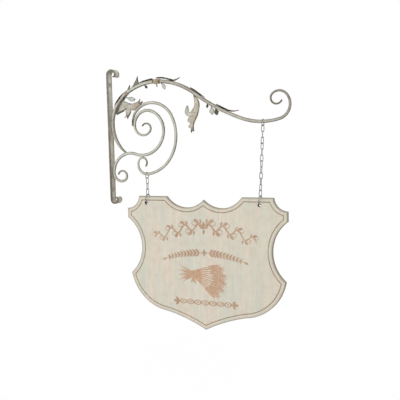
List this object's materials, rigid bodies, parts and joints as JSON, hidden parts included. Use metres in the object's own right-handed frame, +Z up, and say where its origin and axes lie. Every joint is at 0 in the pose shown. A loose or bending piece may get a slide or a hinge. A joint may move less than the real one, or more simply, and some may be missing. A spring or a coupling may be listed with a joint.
{
  "type": "hanging shop sign on a wall bracket",
  "caption": "Shaped wooden board with a grooved edge, hung by chains and rings from a scrolled and leafed iron wall bracket.",
  "frame": {"origin": "midway between the two wall screw holes, on the back face of the wall bar", "axes": "+X straight out from the wall along the arm, +Y across the board's thickness, +Z up"},
  "size_m": [0.4549, 0.0222, 0.6119],
  "materials": {
    "bracket_paint": "matte, worn",
    "worn_paint": "matte, rubbed through to brown iron",
    "steel": "satin",
    "board_paint": "matte, whitewashed"
  },
  "bodies": {
    "bracket": {"wall_bar": "bracket_paint", "arm": "bracket_paint", "inner_scroll": "bracket_paint", "outer_scroll": "bracket_paint", "collar": "worn_paint", "bud": "worn_paint", "arm_sheath": "bracket_paint", "spear_leaf_small": "bracket_paint", "spear_leaf_large": "bracket_paint", "corner_leaf_base": "bracket_paint", "corner_leaf_oval": "bracket_paint", "corner_leaf_forked": "worn_paint", "corner_leaf_low": "bracket_paint", "corner_leaf_back": "worn_paint", "arm_leaflet_back": "worn_paint", "bud_leaf_small": "bracket_paint", "bud_leaf_large": "bracket_paint", "twig_back": "worn_paint", "twig_front": "worn_paint", "twig_low": "worn_paint", "hanging_leaf": "bracket_paint", "hanging_leaf_lobe": "bracket_paint", "arm_leaflet_dark": "worn_paint", "arm_leaflet_oval": "bracket_paint", "arm_leaflet_front": "worn_paint", "tendril": "worn_paint"},
    "bar_ring_near": {"bar_ring_near": "steel"},
    "near_link_1": {"near_link_1": "steel"},
    "near_link_2": {"near_link_2": "steel"},
    "near_link_3": {"near_link_3": "steel"},
    "board_ring_near": {"board_ring_near": "steel"},
    "board": {"board": "board_paint"},
    "bar_ring_far": {"bar_ring_far": "steel"},
    "far_link_1": {"far_link_1": "steel"},
    "far_link_2": {"far_link_2": "steel"},
    "far_link_3": {"far_link_3": "steel"},
    "far_link_4": {"far_link_4": "steel"},
    "far_link_5": {"far_link_5": "steel"},
    "far_link_6": {"far_link_6": "steel"},
    "far_link_7": {"far_link_7": "steel"},
    "far_link_8": {"far_link_8": "steel"},
    "far_link_9": {"far_link_9": "steel"},
    "far_link_10": {"far_link_10": "steel"},
    "far_link_11": {"far_link_11": "steel"},
    "far_link_12": {"far_link_12": "steel"},
    "board_ring_far": {"board_ring_far": "steel"}
  },
  "joints": [
    {"name": "sign_swing", "type": "hinge", "parent": "bracket", "child": "bar_ring_near", "pos_m": [0.0986, 0, -0.08911], "axis": [0.9311, 0, 0.3648], "range_deg": [-40, 40]},
    {"name": "near_chain_sway", "type": "hinge", "parent": "bar_ring_near", "child": "near_link_1", "pos_m": [0.0986, 0, -0.0995], "axis": [0, 1, 0], "range_deg": [-10, 10]},
    {"name": "near_link_2_twist", "type": "hinge", "parent": "near_link_1", "child": "near_link_2", "pos_m": [0.0986, 0, -0.08911], "axis": [0, 0, 1], "range_deg": [-5, 5]},
    {"name": "near_link_3_level", "type": "hinge", "parent": "near_link_1", "child": "near_link_3", "pos_m": [0.0986, 0, -0.12568], "axis": [0, 1, 0], "range_deg": [-11, 11]},
    {"name": "board_tilt", "type": "hinge", "parent": "near_link_3", "child": "board_ring_near", "pos_m": [0.0986, 0, -0.13882], "axis": [1, 0, 0], "range_deg": [-25, 25]},
    {"name": "board_slip", "type": "hinge", "parent": "board_ring_near", "child": "board", "pos_m": [0.0986, 0, -0.14652], "axis": [1, 0, 0], "range_deg": [-10, 10]},
    {"name": "far_ring_swing", "type": "hinge", "parent": "bracket", "child": "bar_ring_far", "pos_m": [0.39048, 0, 0.02525], "axis": [0.9311, 0, 0.3648], "range_deg": [-40.5, 40.5]},
    {"name": "far_chain_sway", "type": "hinge", "parent": "bar_ring_far", "child": "far_link_1", "pos_m": [0.38995, 0, 0.01537], "axis": [0, 1, 0], "range_deg": [-3, 3]},
    {"name": "far_link_2_twist", "type": "hinge", "parent": "far_link_1", "child": "far_link_2", "pos_m": [0.39048, 0, 0.02525], "axis": [0.0536, 0, 0.9986], "range_deg": [-5, 5]},
    {"name": "far_link_3_twist", "type": "hinge", "parent": "far_link_1", "child": "far_link_3", "pos_m": [0.39048, 0, 0.02525], "axis": [0.0536, 0, 0.9986], "range_deg": [-5, 5]},
    {"name": "far_link_4_twist", "type": "hinge", "parent": "far_link_1", "child": "far_link_4", "pos_m": [0.39048, 0, 0.02525], "axis": [0.0536, 0, 0.9986], "range_deg": [-5, 5]},
    {"name": "far_link_5_twist", "type": "hinge", "parent": "far_link_1", "child": "far_link_5", "pos_m": [0.39048, 0, 0.02525], "axis": [0.0536, 0, 0.9986], "range_deg": [-5, 5]},
    {"name": "far_link_6_twist", "type": "hinge", "parent": "far_link_1", "child": "far_link_6", "pos_m": [0.39048, 0, 0.02525], "axis": [0.0536, 0, 0.9986], "range_deg": [-5, 5]},
    {"name": "far_link_7_twist", "type": "hinge", "parent": "far_link_1", "child": "far_link_7", "pos_m": [0.39048, 0, 0.02525], "axis": [0.0536, 0, 0.9986], "range_deg": [-5, 5]},
    {"name": "far_link_8_twist", "type": "hinge", "parent": "far_link_1", "child": "far_link_8", "pos_m": [0.39048, 0, 0.02525], "axis": [0.0536, 0, 0.9986], "range_deg": [-5, 5]},
    {"name": "far_link_9_twist", "type": "hinge", "parent": "far_link_1", "child": "far_link_9", "pos_m": [0.39048, 0, 0.02525], "axis": [0.0536, 0, 0.9986], "range_deg": [-5, 5]},
    {"name": "far_link_10_twist", "type": "hinge", "parent": "far_link_1", "child": "far_link_10", "pos_m": [0.39048, 0, 0.02525], "axis": [0.0536, 0, 0.9986], "range_deg": [-5, 5]},
    {"name": "far_link_11_twist", "type": "hinge", "parent": "far_link_1", "child": "far_link_11", "pos_m": [0.39048, 0, 0.02525], "axis": [0.0536, 0, 0.9986], "range_deg": [-5, 5]},
    {"name": "far_link_12_level", "type": "hinge", "parent": "far_link_1", "child": "far_link_12", "pos_m": [0.38237, 0, -0.12596], "axis": [0, 1, 0], "range_deg": [-3, 3]},
    {"name": "far_ring_tilt", "type": "hinge", "parent": "far_link_12", "child": "board_ring_far", "pos_m": [0.38168, 0, -0.13882], "axis": [1, 0, 0], "range_deg": [-25.5, 25.5]}
  ],
  "couplings": [
    {"joint": "far_ring_swing", "follows": "sign_swing", "ratio": 1},
    {"joint": "far_chain_sway", "follows": "near_chain_sway", "ratio": 0.1853},
    {"joint": "near_link_3_level", "follows": "near_chain_sway", "ratio": -1},
    {"joint": "far_link_12_level", "follows": "near_chain_sway", "ratio": -0.1853},
    {"joint": "far_ring_tilt", "follows": "board_tilt", "ratio": 1}
  ]
}
